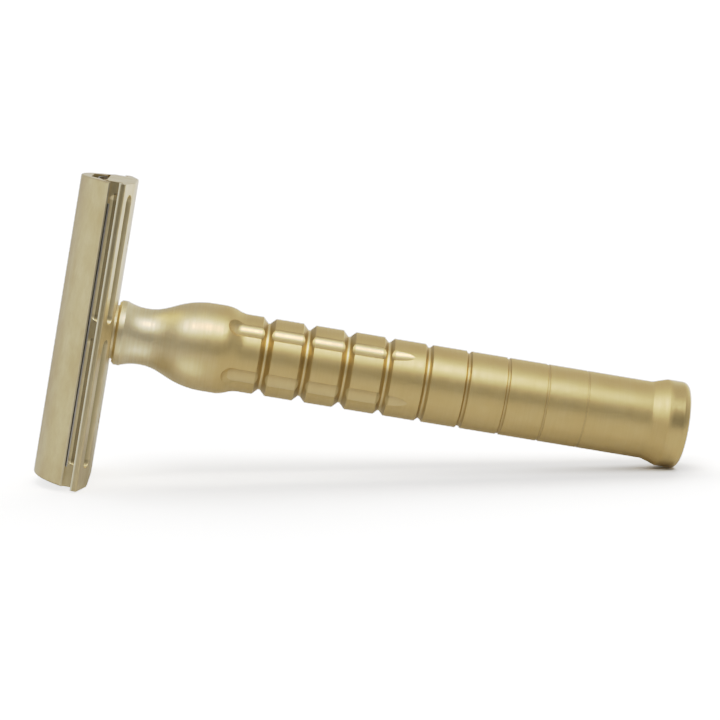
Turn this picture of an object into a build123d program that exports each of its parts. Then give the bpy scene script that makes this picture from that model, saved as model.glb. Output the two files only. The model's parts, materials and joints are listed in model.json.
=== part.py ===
from build123d import *
import os
from math import asin, atan2, cos, hypot, radians, sin, sqrt

# Three-piece double-edge safety razor in solid brass, lying on a flat surface.
# Millimetres, +Z up. The handle runs along +X and slopes down to its end; the head stands across it.
# The razor rests on the lower end of its base plate and on the rim of the handle's end.
#
# The head's own heights ("rise") are measured along the handle axis, from the underside of the base
# plate towards the top of the cap. "across" is the short side of the head, "along" its long side.

# ---- driving dimensions: head ----
head_length = 43.3
plate_width = 24.5
cap_width = 20.8
cap_rise = 8.0
cap_edge_rise = 3.36
cap_lip = 0.25
cap_length = 43.1
cap_end_round = 0.25

# ---- blade and the curved seat that bends it ----
blade_length = 42.8
blade_width = 22.0
blade_thickness = 0.1
blade_edge_length = 37.2
blade_tab_width = 13.4
blade_bend_radius = 25.0
blade_peak_rise = 5.5
seat_clearance = 0.10
blade_hole = 5.8
blade_slot_width = 3.2
blade_slot_length = 33.0
blade_lobe = 4.6

# ---- base plate ----
underside_flat = 12.4
plate_side_rise = 1.25
guard_rise = 2.15
guard_round = 0.45
gutter_rise = 1.7
guard_top_width = 1.45
gutter_round = 0.3
edge_round = 0.3
underside_round = 8.0
seat_width = 18.4
plate_end_round = 0.25
slot_tilt = 30.0
slot_cutter = 2.25
slot_outer_lip = 10.35
slot_end_margin = 2.25
slot_land = 2.2
slot_shift = 0.75

# ---- relief pockets that open at both ends of the head ----
pocket_start = 15.4
pocket_floor_rise = 4.05
pocket_floor_width = 14.0
pocket_roof_rise = 6.4
pocket_roof_width = 8.0
pocket_round = 0.9

# ---- stud, pins and their holes ----
thread_radius = 2.5
thread_pitch = 0.8
thread_turns = 10
thread_depth = 0.49
stud_shank_radius = 2.45
stud_seat_rise = 7.1
thread_start_rise = 1.2
stud_hole_radius = 2.75
pin_radius = 1.35
pin_offset = 13.0
pin_seat_rise = 6.9
pin_tip_rise = 1.4
pin_hole_radius = 1.45
pin_chamfer = 0.3
ridge_base = 0.7
ridge_crest = 0.1
ridge_sink = 0.1

# ---- handle, radii and distances from the underside of the base plate ----
handle_length = 83.1
collar_radius = 4.65
boss_radius = 3.9
boss_length = 0.35
collar_bevel = 0.35
collar_end = 1.45
neck_radius = 4.05
neck_middle = 4.4
neck_end = 7.3
neck_end_radius = 4.70
flank_slope = 24.1
flank_length = 1.4
bulb_radius = 6.35
bulb_start = 13.7
bulb_end = 15.3
shoulder_length = 2.0
shoulder_drop = 0.43
grip_start = 19.0
grip_radius = 5.60
grip_end = 77.8
flare_end = 79.9
flare_radius = 6.28
flare_bend_round = 1.2
flare_crest_round = 0.6
rim_round = 1.0
socket_radius = 2.55
socket_depth = 9.6
socket_tip = 1.2
socket_bevel = 0.3

# ---- decoration of the grip ----
first_groove = 21.8
groove_pitch = 5.8
groove_floor = 0.24
groove_over = 0.4
groove_depths = [0.80, 0.80, 0.80, 0.62, 0.44, 0.29, 0.17, 0.09, 0.05]
flute_count = 5
flute_turn = 42.0
flute_tool = 2.2
flute_depth = 0.38
flute_start = 17.9
flute_level_end = 37.0
flute_run_out = 44.0
flute_run_out_arc = 12.0

# ---- how the razor lies: both resting corners are rounded, and one plane touches both ----
half_head = head_length / 2
head_corner = (-plate_end_round, -(half_head - plate_end_round))
rim_corner = (handle_length - rim_round, -(flare_radius - rim_round))
run = rim_corner[0] - head_corner[0]
fall = rim_corner[1] - head_corner[1]
rest_angle = atan2(fall, run) + asin((plate_end_round - rim_round) / hypot(run, fall))
tilt_sin, tilt_cos = sin(rest_angle), cos(rest_angle)

# the origin is midway along the lying razor, on the surface it rests on
lowest = head_corner[0] * -tilt_sin + head_corner[1] * tilt_cos - plate_end_round
left_end = -cap_rise * tilt_cos - cap_length / 2 * tilt_sin
right_end = handle_length * tilt_cos + (flare_radius - rim_round) * tilt_sin
foot = Vector(-(left_end + right_end) / 2, 0, -lowest)

handle_direction = Vector(tilt_cos, 0, -tilt_sin)
head_direction = Vector(tilt_sin, 0, tilt_cos)
handle_axis = Axis(foot, handle_direction)

# side: x along the handle, y along the head. section: x across the head, y is the rise.
# plan: x across the head, y along the head, seen from the handle.
side = Plane(origin=foot, x_dir=handle_direction, z_dir=(0, -1, 0))
section = Plane(origin=foot, x_dir=(0, 1, 0), z_dir=head_direction)
plan = Plane(origin=foot, x_dir=(0, 1, 0), z_dir=handle_direction)


def plan_at(rise):
    """The plan plane lifted towards the cap."""
    return plan.offset(-rise)


def seat_arc(half_width, gap):
    """Arc parallel to the bent blade, a given gap outside its middle surface."""
    radius = blade_bend_radius + gap
    middle = blade_peak_rise - blade_bend_radius
    end_rise = middle + sqrt(radius**2 - half_width**2)
    return ThreePointArc((-half_width, end_rise), (0, middle + radius), (half_width, end_rise))


def cut_end_pockets():
    """Cut the trapezoid relief from both ends of the part being built."""
    floor_half, roof_half = pocket_floor_width / 2, pocket_roof_width / 2
    for end in (-1, 1):
        with BuildSketch(section.offset(end * pocket_start)) as pocket:
            with BuildLine():
                Polyline(
                    (-floor_half, pocket_floor_rise),
                    (-roof_half, pocket_roof_rise),
                    (roof_half, pocket_roof_rise),
                    (floor_half, pocket_floor_rise),
                    close=True,
                )
            make_face()
            fillet(pocket.vertices().group_by(Axis.Y)[-1], pocket_round)
        extrude(pocket.sketch, amount=end * half_head, mode=Mode.SUBTRACT)


def cut_holes(stud_hole, pin_hole, stud_top, pin_top):
    """Cut the stud hole and both pin holes, from the underside of the head up to the given rises."""
    with BuildSketch(plan) as stud_circle:
        Circle(stud_hole)
    extrude(stud_circle.sketch, amount=-stud_top, mode=Mode.SUBTRACT)
    with BuildSketch(plan) as pin_circles:
        with Locations((0, -pin_offset), (0, pin_offset)):
            Circle(pin_hole)
    extrude(pin_circles.sketch, amount=-pin_top, mode=Mode.SUBTRACT)


def cut_slots(bar_side):
    """Mill the two tilted, round-ended slots behind one safety bar."""
    tilt = radians(slot_tilt)
    across = slot_outer_lip - slot_cutter / 2 * cos(tilt)
    rise = plate_side_rise * (slot_outer_lip - underside_flat / 2) / (half_plate - underside_flat / 2)
    rise += slot_cutter / 2 * sin(tilt)
    outward = Vector(0, bar_side, 0)
    middle = foot + outward * across - handle_direction * rise + head_direction * slot_shift
    cutter_axis = outward * sin(tilt) - handle_direction * cos(tilt)
    cutter = Plane(origin=middle, x_dir=head_direction, z_dir=cutter_axis)
    slot_end = half_head - slot_end_margin
    slot_length = slot_end - slot_land / 2
    slot_middle = (slot_end + slot_land / 2) / 2
    with BuildSketch(cutter) as slots:
        with Locations((-slot_middle, 0), (slot_middle, 0)):
            SlotOverall(slot_length, slot_cutter)
    extrude(slots.sketch, amount=plate_width / 4, both=True, mode=Mode.SUBTRACT)


os.makedirs("parts", exist_ok=True)
half_cap = cap_width / 2
half_plate = plate_width / 2
half_seat = seat_width / 2
seat_gap = blade_thickness / 2 + seat_clearance

# ---- cap: domed bar with a thin lip, hollow under its arch to clear the blade ----
with BuildPart() as cap:
    with BuildSketch(section):
        with BuildLine():
            underside = seat_arc(half_cap, seat_gap)
            lip = Line(underside @ 1, (half_cap, cap_edge_rise + cap_lip))
            dome = ThreePointArc(lip @ 1, (0, cap_rise), (-half_cap, cap_edge_rise + cap_lip))
            Line(dome @ 1, underside @ 0)
        make_face()
    extrude(amount=cap_length / 2, both=True)
    dome_ends = cap.edges().filter_by(GeomType.CIRCLE).sort_by(SortBy.RADIUS)[:2]
    fillet(dome_ends, cap_end_round)
    cut_end_pockets()
    cut_holes(stud_shank_radius, pin_radius, stud_seat_rise, pin_seat_rise)
cap.part.label = "cap"
export_step(cap.part, "parts/cap.step")

# ---- base plate: curved blade seat in the middle, a safety bar on each long side ----
guard_inner = half_plate - guard_top_width
with BuildPart() as base_plate:
    with BuildSketch(section):
        with BuildLine():
            seat = seat_arc(half_seat, -seat_gap)
            right_side = FilletPolyline(
                seat @ 1,
                (half_seat, gutter_rise),
                (guard_inner, gutter_rise),
                (guard_inner, guard_rise),
                (half_plate, guard_rise),
                (half_plate, plate_side_rise),
                (underside_flat / 2, 0),
                (0, 0),
                radius=(gutter_round, edge_round, edge_round, guard_round, edge_round, underside_round),
            )
            mirror(right_side, about=Plane.YZ)
        make_face()
    extrude(amount=half_head, both=True)
    with BuildSketch(side) as end_view:
        with Locations((-cap_rise / 2, 0)):
            Rectangle(cap_rise, head_length)
        fillet(end_view.vertices().group_by(Axis.X)[-1], plate_end_round)
    extrude(amount=half_plate, both=True, mode=Mode.INTERSECT)
    cut_end_pockets()
    cut_holes(stud_hole_radius, pin_hole_radius, cap_rise, cap_rise)
    for bar_side in (-1, 1):
        cut_slots(bar_side)
base_plate.part.label = "base_plate"
export_step(base_plate.part, "parts/base_plate.step")

# ---- blade: thin steel strip bent over the seat, with narrow end tabs and a slotted middle ----
half_span = blade_bend_radius * sin(blade_width / 2 / blade_bend_radius)
with BuildPart() as blade:
    with BuildSketch(section):
        with BuildLine():
            upper = seat_arc(half_span, blade_thickness / 2)
            lower = seat_arc(half_span, -blade_thickness / 2)
            Line(upper @ 0, lower @ 0)
            Line(upper @ 1, lower @ 1)
        make_face()
    extrude(amount=blade_length / 2, both=True)
    with BuildSketch(plan):
        Rectangle(plate_width, blade_edge_length)
        Rectangle(blade_tab_width, blade_length)
    extrude(amount=-cap_rise, mode=Mode.INTERSECT)
    with BuildSketch(plan):
        Circle(blade_hole / 2)
        SlotOverall(blade_slot_length, blade_slot_width, rotation=90)
        with Locations((0, -pin_offset), (0, pin_offset)):
            Circle(blade_lobe / 2)
    extrude(amount=-cap_rise, mode=Mode.SUBTRACT)
blade.part.label = "blade"
export_step(blade.part, "parts/blade.step")

# ---- alignment pins: fixed in the cap, through the blade into the base plate ----
for pin_name, pin_side in (("upper_pin", 1), ("lower_pin", -1)):
    with BuildPart() as pin:
        with BuildSketch(plan_at(pin_seat_rise)):
            with Locations((0, pin_side * pin_offset)):
                Circle(pin_radius)
        extrude(amount=pin_seat_rise - pin_tip_rise)
        chamfer(pin.edges().sort_by(handle_axis)[-1], pin_chamfer)
    pin.part.label = pin_name
    export_step(pin.part, f"parts/{pin_name}.step")

# ---- threaded stud: plain shank fixed in the cap, screw thread where it enters the handle ----
thread_length = thread_turns * thread_pitch
root_radius = thread_radius - thread_depth
thread_foot = foot - handle_direction * thread_start_rise
with BuildPart() as stud:
    with BuildSketch(plan_at(stud_seat_rise)):
        Circle(stud_shank_radius)
    extrude(amount=stud_seat_rise - thread_start_rise)
    with BuildSketch(plan_at(thread_start_rise)):
        Circle(root_radius)
    extrude(amount=thread_start_rise + thread_length)
    chamfer(stud.edges().sort_by(handle_axis)[-1], thread_depth)
    ridge_length = thread_start_rise + thread_length - thread_pitch
    with BuildLine():
        helix = Helix(
            pitch=thread_pitch,
            height=ridge_length,
            radius=root_radius,
            center=thread_foot,
            direction=handle_direction,
        )
    outward = (helix @ 0 - thread_foot).normalized()
    with BuildSketch(Plane(origin=helix @ 0, x_dir=outward, z_dir=helix % 0)):
        with BuildLine():
            Polyline(
                (-ridge_sink, -ridge_base / 2),
                (thread_depth, -ridge_crest / 2),
                (thread_depth, ridge_crest / 2),
                (-ridge_sink, ridge_base / 2),
                close=True,
            )
        make_face()
    sweep(path=helix.edge(), is_frenet=True)
stud.part.label = "threaded_stud"
export_step(stud.part, "parts/threaded_stud.step")

# ---- handle: turned from bar, then fluted, then cut with V-grooves that fade along the grip ----
with BuildPart() as handle:
    with BuildSketch(side):
        with BuildLine():
            collar = Polyline(
                (0, 0),
                (0, boss_radius),
                (boss_length, boss_radius),
                (boss_length, collar_radius - collar_bevel),
                (boss_length + collar_bevel, collar_radius),
                (collar_end, collar_radius),
            )
            neck = ThreePointArc(collar @ 1, (neck_middle, neck_radius), (neck_end, neck_end_radius))
            flank = PolarLine(neck @ 1, flank_length, flank_slope)
            crown = TangentArc(flank @ 1, (bulb_start, bulb_radius), tangent=flank % 1)
            crest = Line(crown @ 1, (bulb_end, bulb_radius))
            shoulder_foot = (bulb_end + shoulder_length, bulb_radius - shoulder_drop)
            shoulder = TangentArc(crest @ 1, shoulder_foot, tangent=(1, 0))
            grip_blend = TangentArc(shoulder @ 1, (grip_start, grip_radius), tangent=shoulder % 1)
            flared_end = FilletPolyline(
                grip_blend @ 1,
                (grip_end, grip_radius),
                (flare_end, flare_radius),
                (handle_length, flare_radius),
                (handle_length, 0),
                radius=(flare_bend_round, flare_crest_round, rim_round),
            )
            Line(flared_end @ 1, (0, 0))
        make_face()
    revolve(axis=handle_axis)

    # flutes: a round-nosed cutter runs level along the grip, then lifts out on a long arc
    cutter_height = grip_radius - flute_depth + flute_tool
    turning = Axis((0, 0, 0), handle_direction)
    for index in range(flute_count):
        flute_facing = side.z_dir.rotate(turning, 90 - flute_turn + index * 360 / flute_count)
        flute_side = Plane(origin=foot, x_dir=handle_direction, z_dir=flute_facing)
        with BuildLine(flute_side) as flute_path:
            level = Line((flute_start, cutter_height), (flute_level_end, cutter_height))
            JernArc(level @ 1, level % 1, flute_run_out, flute_run_out_arc)
        with BuildSketch(Plane(origin=level @ 0, x_dir=(0, 1, 0), z_dir=handle_direction)):
            Circle(flute_tool)
        sweep(path=flute_path.wire(), mode=Mode.SUBTRACT)
        with Locations(Location(level @ 0)):
            Sphere(flute_tool, mode=Mode.SUBTRACT)

    # V-grooves with a narrow flat floor, deep by the bulb and shallow towards the end
    with BuildSketch(side):
        for index, depth in enumerate(groove_depths):
            place = first_groove + index * groove_pitch
            half_floor = groove_floor / 2
            with BuildLine():
                Polyline(
                    (place - half_floor, grip_radius - depth),
                    (place + half_floor, grip_radius - depth),
                    (place + half_floor + depth + groove_over, grip_radius + groove_over),
                    (place - half_floor - depth - groove_over, grip_radius + groove_over),
                    close=True,
                )
            make_face()
    revolve(axis=handle_axis, mode=Mode.SUBTRACT)

    # blind socket that runs over the stud's thread
    with BuildSketch(side):
        with BuildLine():
            Polyline(
                (0, 0),
                (0, socket_radius + socket_bevel),
                (socket_bevel, socket_radius),
                (socket_depth, socket_radius),
                (socket_depth + socket_tip, 0),
                close=True,
            )
        make_face()
    revolve(axis=handle_axis, mode=Mode.SUBTRACT)
handle.part.label = "handle"
export_step(handle.part, "parts/handle.step")
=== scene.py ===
"""Satin brass double-edge safety razor lying on a white studio floor.

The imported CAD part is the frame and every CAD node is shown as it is, with a procedural material.
Metres, +Z up. Material coordinates are the head's own: x along the handle, y across, z along the head,
in millimetres from the middle of the base plate's underside.
"""
import json
import math

import bpy
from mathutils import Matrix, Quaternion, Vector

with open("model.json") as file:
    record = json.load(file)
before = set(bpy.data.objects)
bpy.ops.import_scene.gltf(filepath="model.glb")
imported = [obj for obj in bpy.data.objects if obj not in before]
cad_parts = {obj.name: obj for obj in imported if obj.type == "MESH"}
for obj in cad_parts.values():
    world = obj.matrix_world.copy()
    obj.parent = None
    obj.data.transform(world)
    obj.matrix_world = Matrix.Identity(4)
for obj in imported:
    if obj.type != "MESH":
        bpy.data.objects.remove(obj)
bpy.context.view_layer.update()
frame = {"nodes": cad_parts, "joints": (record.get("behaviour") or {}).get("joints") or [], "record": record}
scene = bpy.context.scene

turn = next(joint for joint in frame["joints"] if joint["name"] == "handle_turn")
FOOT = Vector(turn["pos_m"])
AXIS = Vector(turn["axis"]).normalized()
if AXIS.x < 0:
    AXIS = -AXIS
TILT = math.atan2(-AXIS.z, AXIS.x)
MILLIMETRE = 0.001
MICROMETRE = 1e-6

# places on the handle, in millimetres along it
PALE_END = 6.0
GOLDEN_START = 16.0
FLUTE_START = 16.8
FLUTE_END = 47.0
FIRST_GROOVE = 21.8
GROOVE_PITCH = 5.8
GROOVE_HALF = 0.75
DEEP_GROOVES_END = 42.0
SHALLOW_GROOVES_START = 52.0
CONE_START = 77.0
RIM_START = 80.0
GRIP_RADIUS = 5.6

# places on the head, in millimetres: rise is from the base plate's underside towards the cap, aside is
# from the middle line, and the slots are centred a little off the middle of the head's length
UNDERSIDE_BEND = 6.2
UNDERSIDE_SLOPE = 0.2066
UNDERSIDE_SKIN = 0.05
SLOT_INNER = 7.4
SLOT_OUTER = 10.8
SEAT_EDGE = 9.5
SEAT_SIDE_TOP = 2.7
GUTTER_RISE = 1.62
SLOT_CENTRE = 0.75
SLOT_REACH = 19.1
LAND_HALF = 1.1
BAND_RISE = 2.9
BAND_HALF = 0.19
CREST_RISE = 1.8
CREST_ASIDE = 10.3

# colours, with the painted shade and highlights among them
# the neck's paler colours are partly a painted reflection of the bright floor
NECK_LIGHT, NECK_DARK = (0.93, 0.82, 0.55), (0.88, 0.76, 0.48)
GRIP_LIGHT, GRIP_DARK = (0.80, 0.61, 0.275), (0.77, 0.57, 0.24)
RING_BROWN = (0.72, 0.54, 0.23)
FLUTE_PALE = (0.90, 0.76, 0.45)
# painted light in the V-grooves: a highlight along the bottom, shade in the shallow ones and along the edges
GROOVE_HIGHLIGHT, GROOVE_FLOOR_SHADE = (0.84, 0.68, 0.36), (0.68, 0.51, 0.23)
GROOVE_EDGE_SHADE = (0.55, 0.405, 0.175)
HEAD_LIGHT, HEAD_DARK = (0.82, 0.695, 0.42), (0.71, 0.585, 0.32)
HEAD_SPOT = (0.66, 0.53, 0.30)
# painted shade in the slots, and deeper painted shade by the seat
SLOT_SHADE, DEEP_SLOT_SHADE = (0.47, 0.385, 0.21), (0.26, 0.20, 0.10)
# painted highlight along the top of the seat's side
BAND_HIGHLIGHT = (0.92, 0.79, 0.48)
# painted highlight along the guard's crest
CREST_HIGHLIGHT = (1.0, 0.94, 0.72)
STUD_LIGHT, STUD_DARK = (0.80, 0.62, 0.30), (0.72, 0.53, 0.23)
STEEL_LIGHT, STEEL_DARK = (0.66, 0.645, 0.61), (0.58, 0.565, 0.53)


class Graph:
    """Short calls for adding nodes to a node tree."""

    def __init__(self, node_tree):
        self.nodes = node_tree.nodes
        self.links = node_tree.links

    def add(self, kind, **settings):
        node = self.nodes.new(kind)
        for name, value in settings.items():
            setattr(node, name, value)
        return node

    def put(self, value, socket):
        """Link a socket, or set a plain value."""
        if isinstance(value, bpy.types.NodeSocket):
            self.links.new(value, socket)
        else:
            socket.default_value = value

    def math(self, operation, *values):
        node = self.add("ShaderNodeMath", operation=operation)
        for value, socket in zip(values, node.inputs):
            self.put(value, socket)
        return node.outputs[0]

    def product(self, value, *factors):
        for factor in factors:
            value = self.math("MULTIPLY", value, factor)
        return value

    def vector(self, operation, *values):
        node = self.add("ShaderNodeVectorMath", operation=operation)
        for value, socket in zip(values, node.inputs):
            self.put(value, socket)
        return node.outputs["Value" if operation == "DOT_PRODUCT" else "Vector"]


class Finish(Graph):
    """A material's node tree, with the nodes that the materials share."""

    def __init__(self, name):
        self.material = bpy.data.materials.new(name)
        self.material.use_nodes = True
        super().__init__(self.material.node_tree)
        self.shader = self.nodes["Principled BSDF"]

    def local(self):
        """Place on the part in the head's own axes, in millimetres."""
        place = self.add("ShaderNodeTexCoord").outputs["Object"]
        mapping = self.add("ShaderNodeMapping", vector_type="TEXTURE")
        self.put(place, mapping.inputs["Vector"])
        mapping.inputs["Location"].default_value = FOOT
        mapping.inputs["Rotation"].default_value = (0, TILT, 0)
        mapping.inputs["Scale"].default_value = (MILLIMETRE, MILLIMETRE, MILLIMETRE)
        return mapping.outputs[0]

    def split(self, place):
        node = self.add("ShaderNodeSeparateXYZ")
        self.put(place, node.inputs[0])
        return tuple(node.outputs)

    def noise(self, place, stretch, detail=4.0, roughness=0.55):
        """Noise value 0..1; stretch is how many features fit in a millimetre along each axis."""
        node = self.add("ShaderNodeTexNoise")
        self.put(self.vector("MULTIPLY", place, stretch), node.inputs["Vector"])
        node.inputs["Scale"].default_value = 1.0
        node.inputs["Detail"].default_value = detail
        node.inputs["Roughness"].default_value = roughness
        return node.outputs["Fac"]

    def span(self, value, low, high, to_low, to_high):
        """Map a value's range low..high to another one, clamped."""
        node = self.add("ShaderNodeMapRange")
        for item, socket in zip((value, low, high, to_low, to_high), node.inputs):
            self.put(item, socket)
        return node.outputs[0]

    def rise(self, value, start, end):
        """0 before start, 1 after end."""
        return self.span(value, start, end, 0.0, 1.0)

    def fall(self, value, start, end):
        """1 before start, 0 after end."""
        return self.span(value, start, end, 1.0, 0.0)

    def spread(self, noise, to_low, to_high):
        """Noise carried over to the range of a roughness or a share."""
        return self.span(noise, 0.3, 0.7, to_low, to_high)

    def mix(self, factor, first, second):
        node = self.add("ShaderNodeMix", data_type="RGBA")
        self.put(factor, node.inputs["Factor"])
        self.put((*first, 1) if isinstance(first, tuple) else first, node.inputs["A"])
        self.put((*second, 1) if isinstance(second, tuple) else second, node.inputs["B"])
        return node.outputs["Result"]

    def metal(self, colour, roughness, height, micrometres):
        """Finish the material as bare metal, with a bump of the given depth."""
        bump = self.add("ShaderNodeBump")
        bump.inputs["Strength"].default_value = 1.0
        bump.inputs["Distance"].default_value = micrometres * MICROMETRE
        self.put(height, bump.inputs["Height"])
        self.put(bump.outputs[0], self.shader.inputs["Normal"])
        self.put(colour, self.shader.inputs["Base Color"])
        self.put(roughness, self.shader.inputs["Roughness"])
        self.shader.inputs["Metallic"].default_value = 1.0
        return self.material


def handle_colour(tree, along, radius, from_groove, on_groove, flute, rings, blotches):
    """Paler by the neck, partly as a painted reflection of the bright floor, more golden where the hand
    holds it, and with painted shade lines and a painted highlight in the V-grooves.
    """
    # paler towards the neck, partly as a painted reflection of the bright floor
    handled = tree.rise(along, PALE_END, GOLDEN_START)
    light = tree.mix(handled, NECK_LIGHT, GRIP_LIGHT)
    dark = tree.mix(handled, NECK_DARK, GRIP_DARK)
    colour = tree.mix(tree.rise(blotches, 0.35, 0.65), light, dark)
    colour = tree.mix(tree.spread(rings, 0.0, 0.35), colour, RING_BROWN)
    colour = tree.mix(tree.product(flute, 0.25), colour, FLUTE_PALE)

    # painted light in the V-grooves: a painted highlight along the bottom of the deeper grooves, painted
    # shade at the bottom of the shallow ones, and a painted shade line near each edge
    cut = tree.product(
        on_groove,
        tree.fall(radius, GRIP_RADIUS - 0.06, GRIP_RADIUS - 0.02),
        tree.rise(along, FIRST_GROOVE - 1.2, FIRST_GROOVE - 1.0),
    )
    shallow = tree.rise(along, DEEP_GROOVES_END, SHALLOW_GROOVES_START)
    bottom = tree.mix(shallow, GROOVE_HIGHLIGHT, GROOVE_FLOOR_SHADE)
    walls = tree.mix(tree.rise(from_groove, 0.14, 0.30), bottom, GROOVE_EDGE_SHADE)
    return tree.mix(cut, colour, walls)


def handle_brass():
    tree = Finish("handle_brass")
    place = tree.local()
    along, across, up = tree.split(place)
    radius = tree.math("SQRT", tree.math("ADD", tree.product(across, across), tree.product(up, up)))

    # where the V-grooves are, and where the smoother flutes are
    steps = tree.math("DIVIDE", tree.math("SUBTRACT", along, FIRST_GROOVE), GROOVE_PITCH)
    from_groove = tree.product(tree.math("PINGPONG", steps, 0.5), GROOVE_PITCH)
    on_groove = tree.fall(from_groove, GROOVE_HALF, GROOVE_HALF + 0.25)
    flute = tree.product(
        tree.fall(radius, GRIP_RADIUS - 0.03, GRIP_RADIUS - 0.008),
        tree.fall(along, FLUTE_END - 0.5, FLUTE_END),
        tree.rise(along, FLUTE_START, FLUTE_START + 0.2),
        tree.math("SUBTRACT", 1.0, on_groove),
    )

    rings = tree.noise(place, (3.4, 0.14, 0.14), detail=5.0, roughness=0.6)
    fine_rings = tree.noise(place, (16.0, 0.5, 0.5), detail=3.0)
    blotches = tree.noise(place, (0.22, 0.3, 0.3))
    grain = tree.noise(place, (5.0, 5.0, 5.0), detail=3.0)
    colour = handle_colour(tree, along, radius, from_groove, on_groove, flute, rings, blotches)

    # the cone before the rim was turned more coarsely, and the rim itself more finely
    rough = tree.math("ADD", tree.spread(rings, 0.37, 0.46), tree.spread(grain, -0.02, 0.02))
    rough = tree.math("SUBTRACT", rough, tree.product(flute, 0.07))
    turned_cone = tree.product(
        tree.rise(along, CONE_START, CONE_START + 1.0),
        tree.span(along, RIM_START, RIM_START + 0.6, 1.0, -1.0),
    )
    rough = tree.math("MULTIPLY_ADD", turned_cone, 0.09, rough)

    # lathe marks run round the handle, and not along the flutes
    lathe_marks = tree.math("ADD", rings, tree.product(fine_rings, 0.25))
    height = tree.product(lathe_marks, tree.math("SUBTRACT", 1.0, flute))
    outward = tree.add("ShaderNodeTexCoord").outputs["Object"]
    outward = tree.vector("SUBTRACT", outward, tuple(FOOT))
    around = tree.vector("NORMALIZE", tree.vector("CROSS_PRODUCT", tuple(AXIS), outward))
    tree.put(around, tree.shader.inputs["Tangent"])
    tree.shader.inputs["Anisotropic"].default_value = 0.35
    return tree.metal(colour, rough, height, 8.0)


def head_painted_light(tree, place, colour):
    """Painted shade in the slots, a painted highlight along the seat's side above them, and a painted
    highlight on the guard's crest.
    """
    toward_handle, across, along_head = tree.split(place)
    rise = tree.product(toward_handle, -1.0)
    aside = tree.math("ABSOLUTE", across)
    from_centre = tree.math("ABSOLUTE", tree.math("SUBTRACT", along_head, SLOT_CENTRE))
    in_slot = tree.product(
        tree.fall(from_centre, SLOT_REACH, SLOT_REACH + 0.3),
        tree.rise(from_centre, LAND_HALF, LAND_HALF + 0.3),
    )

    # the painted shade lies between the sloping underside and the gutter or the seat's side
    past_bend = tree.math("SUBTRACT", aside, UNDERSIDE_BEND)
    under = tree.math("MULTIPLY_ADD", past_bend, UNDERSIDE_SLOPE, UNDERSIDE_SKIN)
    brim = tree.span(aside, SEAT_EDGE, SEAT_EDGE + 0.2, SEAT_SIDE_TOP, GUTTER_RISE)
    past_inner = tree.rise(aside, SLOT_INNER, SLOT_INNER + 0.3)
    slot_shade_mask = tree.product(
        past_inner,
        tree.fall(aside, SLOT_OUTER, SLOT_OUTER + 0.3),
        tree.math("LESS_THAN", rise, brim),
        tree.math("GREATER_THAN", rise, under),
        in_slot,
    )
    colour = tree.mix(slot_shade_mask, colour, SLOT_SHADE)
    # deeper painted shade by the seat's side, above the gutter floor
    by_seat = tree.span(aside, SEAT_EDGE + 0.1, SEAT_EDGE + 0.3, 0.6, 0.0)
    deeper_shade_mask = tree.product(slot_shade_mask, by_seat, tree.rise(rise, 1.5, 1.8))
    colour = tree.mix(deeper_shade_mask, colour, DEEP_SLOT_SHADE)

    # a painted highlight along the top of the seat's side, over the slots
    band_highlight_mask = tree.product(
        past_inner,
        tree.math("LESS_THAN", aside, SEAT_EDGE + 0.2),
        tree.math("COMPARE", rise, BAND_RISE, BAND_HALF),
        in_slot,
    )
    colour = tree.mix(band_highlight_mask, colour, BAND_HIGHLIGHT)
    # a painted highlight along the guard's crest
    crest_highlight_mask = tree.product(
        tree.rise(rise, CREST_RISE, CREST_RISE + 0.25),
        tree.rise(aside, CREST_ASIDE, CREST_ASIDE + 0.3),
    )
    return tree.mix(crest_highlight_mask, colour, CREST_HIGHLIGHT)


def head_brass():
    tree = Finish("head_brass")
    place = tree.local()
    patches = tree.noise(place, (0.35, 0.35, 0.2), detail=5.0, roughness=0.6)
    spots = tree.noise(place, (1.1, 1.1, 0.7), roughness=0.6)
    grain = tree.noise(place, (6.0, 6.0, 5.0), detail=3.0)
    brushed = tree.noise(place, (7.0, 7.0, 0.12))

    colour = tree.mix(tree.rise(patches, 0.35, 0.65), HEAD_LIGHT, HEAD_DARK)
    colour = tree.mix(tree.span(spots, 0.45, 0.75, 0.0, 0.45), colour, HEAD_SPOT)
    colour = head_painted_light(tree, place, colour)
    rough = tree.math("ADD", tree.spread(patches, 0.31, 0.40), tree.spread(grain, -0.03, 0.03))
    height = tree.math("ADD", tree.product(grain, 0.6), tree.product(brushed, 0.12))
    height = tree.math("ADD", height, tree.product(spots, 1.5))
    return tree.metal(colour, rough, height, 5.0)


def stud_brass():
    tree = Finish("stud_brass")
    place = tree.local()
    rings = tree.noise(place, (9.0, 0.4, 0.4))
    blotches = tree.noise(place, (0.5, 0.5, 0.5), detail=3.0)
    colour = tree.mix(tree.rise(blotches, 0.35, 0.65), STUD_LIGHT, STUD_DARK)
    return tree.metal(colour, tree.spread(rings, 0.22, 0.34), rings, 4.0)


def blade_steel():
    tree = Finish("blade_steel")
    place = tree.local()
    lines = tree.noise(place, (0.15, 12.0, 0.15))
    cloud = tree.noise(place, (0.3, 0.3, 0.3), detail=3.0)
    colour = tree.mix(tree.rise(cloud, 0.35, 0.65), STEEL_LIGHT, STEEL_DARK)
    return tree.metal(colour, tree.spread(lines, 0.28, 0.40), lines, 2.0)


made = {
    "handle_brass": handle_brass(),
    "head_brass": head_brass(),
    "stud_brass": stud_brass(),
    "blade_steel": blade_steel(),
}
slots = {row["node"]: row["material_slot"] for row in frame["record"]["subparts"]}
for name, node in frame["nodes"].items():
    node.data.materials.clear()
    node.data.materials.append(made[slots[name]])


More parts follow.
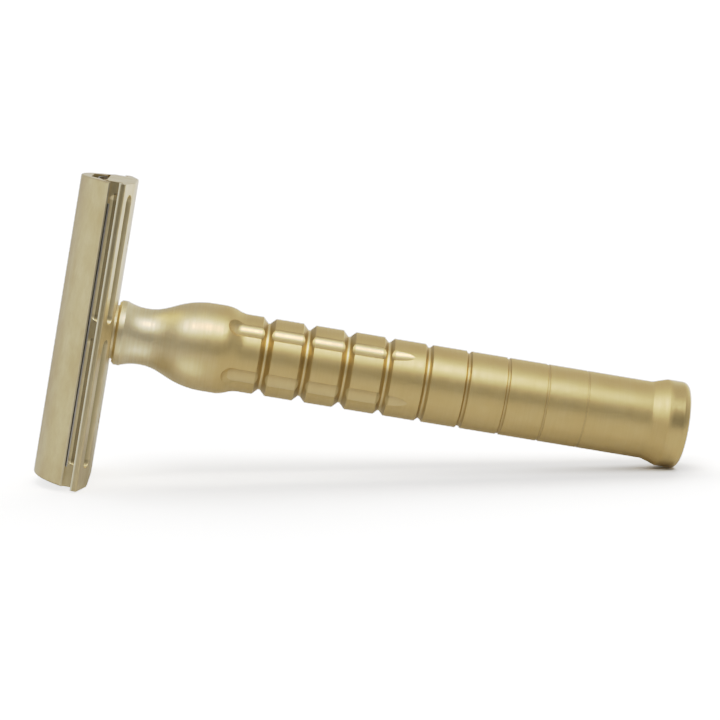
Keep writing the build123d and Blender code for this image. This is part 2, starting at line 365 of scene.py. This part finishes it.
def plane(name, half, height, tone):
    """A level square of plain matt material, part of the studio."""
    mesh = bpy.data.meshes.new(name)
    corners = [(-half, -half, height), (half, -half, height), (half, half, height), (-half, half, height)]
    mesh.from_pydata(corners, [], [(0, 1, 2, 3)])
    piece = bpy.data.objects.new(name, mesh)
    scene.collection.objects.link(piece)
    matt = Finish(name)
    matt.shader.inputs["Base Color"].default_value = (tone, tone, tone, 1)
    matt.shader.inputs["Roughness"].default_value = 1.0
    matt.shader.inputs["Specular IOR Level"].default_value = 0.0
    mesh.materials.append(matt.material)
    return piece


def light_only(lamp, pieces):
    """Let a light reach only the given pieces."""
    lit = bpy.data.collections.new(lamp.name + "_lit")
    for piece in pieces:
        lit.objects.link(piece)
    lamp.light_linking.receiver_collection = lit


def softbox(name, place, aim, size, power, pieces):
    """A rectangular light that only the given pieces receive."""
    light = bpy.data.lights.new(name, "AREA")
    light.shape = "RECTANGLE"
    light.size, light.size_y = size
    light.energy = power
    lamp = bpy.data.objects.new(name, light)
    lamp.location = place
    lamp.rotation_euler = (Vector(aim) - Vector(place)).to_track_quat("-Z", "Y").to_euler()
    lamp.visible_camera = False
    scene.collection.objects.link(lamp)
    light_only(lamp, pieces)


def wash(name, lean, spread, strength, shading):
    """A broad light for the floor alone, in which only the given collection casts a shadow."""
    light = bpy.data.lights.new(name, "SUN")
    light.energy = strength
    light.angle = math.radians(spread)
    lamp = bpy.data.objects.new(name, light)
    lamp.rotation_euler = (math.radians(lean), 0, 0)
    scene.collection.objects.link(lamp)
    light_only(lamp, [floor])
    lamp.light_linking.blocker_collection = shading


# the floor that the camera sees is lit to white; its twin gives the softer light that the brass reflects
floor = plane("floor", 6.0, 0.0, 0.9)
floor.visible_glossy = False
floor.visible_diffuse = False
floor.visible_shadow = False
bounce = plane("floor_bounce", 0.11, -0.0002, 0.6)
bounce.visible_camera = False

handle = frame["nodes"]["handle"]
head = [node for node in frame["nodes"].values() if node != handle]
softbox("key", (-0.035, -0.26, 0.45), (-0.01, 0.0, 0.02), (0.42, 0.20), 1.52, head + [handle, bounce])
softbox("head_side", (0.25, 0.05, 0.45), (-0.02, 0.0, 0.02), (0.18, 0.18), 0.6, head + [bounce])
softbox("neck_fill", (-0.033, -0.014, 0.003), (-0.031, 0.0, 0.021), (0.010, 0.010), 0.00026, [handle])

# the floor's own light comes partly from behind and partly from the front, and only the handle shades it
handle_shade = bpy.data.collections.new("shading")
handle_shade.objects.link(handle)
wash("wash_back", -45, 66, 4.9, handle_shade)
wash("wash_front", 26, 58, 3.55, handle_shade)

# the room that the brass reflects: dim, with paler walls, each as its direction, sharpness and strength
ROOM = 0.125
WALLS = [
    ((-1, 0.25, 0.0), 2, 0.64),
    ((0.5, 0.87, 0.0), 6, 1.35),
    ((0, 0.6, 0.8), 3, 0.25),
    ((0.75, 0.05, 0.65), 6, 0.5),
    ((0.77, -0.58, 0.25), 6, 0.14),
]
BACKGROUND = 3.0


def studio_world():
    """A world that the camera sees as white and the brass reflects as the room."""
    world = bpy.data.worlds.new("studio")
    world.use_nodes = True
    graph = Graph(world.node_tree)
    graph.nodes.clear()
    direction = graph.add("ShaderNodeTexCoord").outputs["Generated"]
    total = ROOM
    for facing, sharpness, strength in WALLS:
        toward = graph.vector("DOT_PRODUCT", direction, Vector(facing).normalized())
        glow = graph.math("POWER", graph.math("MAXIMUM", toward, 0.0), sharpness)
        total = graph.math("MULTIPLY_ADD", glow, strength, total)
    seen = graph.add("ShaderNodeBackground")
    seen.inputs["Color"].default_value = (1, 1, 1, 1)
    seen.inputs["Strength"].default_value = BACKGROUND
    room = graph.add("ShaderNodeBackground")
    room.inputs["Color"].default_value = (1, 0.99, 0.97, 1)
    graph.put(total, room.inputs["Strength"])
    choose = graph.add("ShaderNodeMixShader")
    graph.put(graph.add("ShaderNodeLightPath").outputs["Is Camera Ray"], choose.inputs[0])
    graph.put(room.outputs[0], choose.inputs[1])
    graph.put(seen.outputs[0], choose.inputs[2])
    graph.put(choose.outputs[0], graph.add("ShaderNodeOutputWorld").inputs["Surface"])
    return world


scene.world = studio_world()

# highlights roll off softly, as they do in a product photograph
WHITE = 2.2
ROLL_OFF = ((0.33, 0.335), (0.5, 0.475), (0.75, 0.595), (1.1, 0.70), (1.5, 0.79), (1.9, 0.91))
scene.view_settings.view_transform = "Standard"
scene.view_settings.look = "None"
scene.view_settings.use_curve_mapping = True
mapping = scene.view_settings.curve_mapping
mapping.white_level = (WHITE, WHITE, WHITE)
for value, shown in ROLL_OFF:
    mapping.curves[3].points.new(value / WHITE, shown)
mapping.update()

camera_data = bpy.data.cameras.new("camera")
camera_data.lens = 137.0
camera_data.clip_start = 0.01
camera_data.clip_end = 50.0
camera = bpy.data.objects.new("camera", camera_data)
camera.location = (-0.018, -0.39, 0.062)
heading, dip, roll = math.radians(2.607), math.radians(-6.652), math.radians(0.8)
view = Vector((math.sin(heading) * math.cos(dip), math.cos(heading) * math.cos(dip), math.sin(dip)))
camera.rotation_mode = "QUATERNION"
camera.rotation_quaternion = view.to_track_quat("-Z", "Y") @ Quaternion((0, 0, 1), -roll)
scene.collection.objects.link(camera)
scene.camera = camera
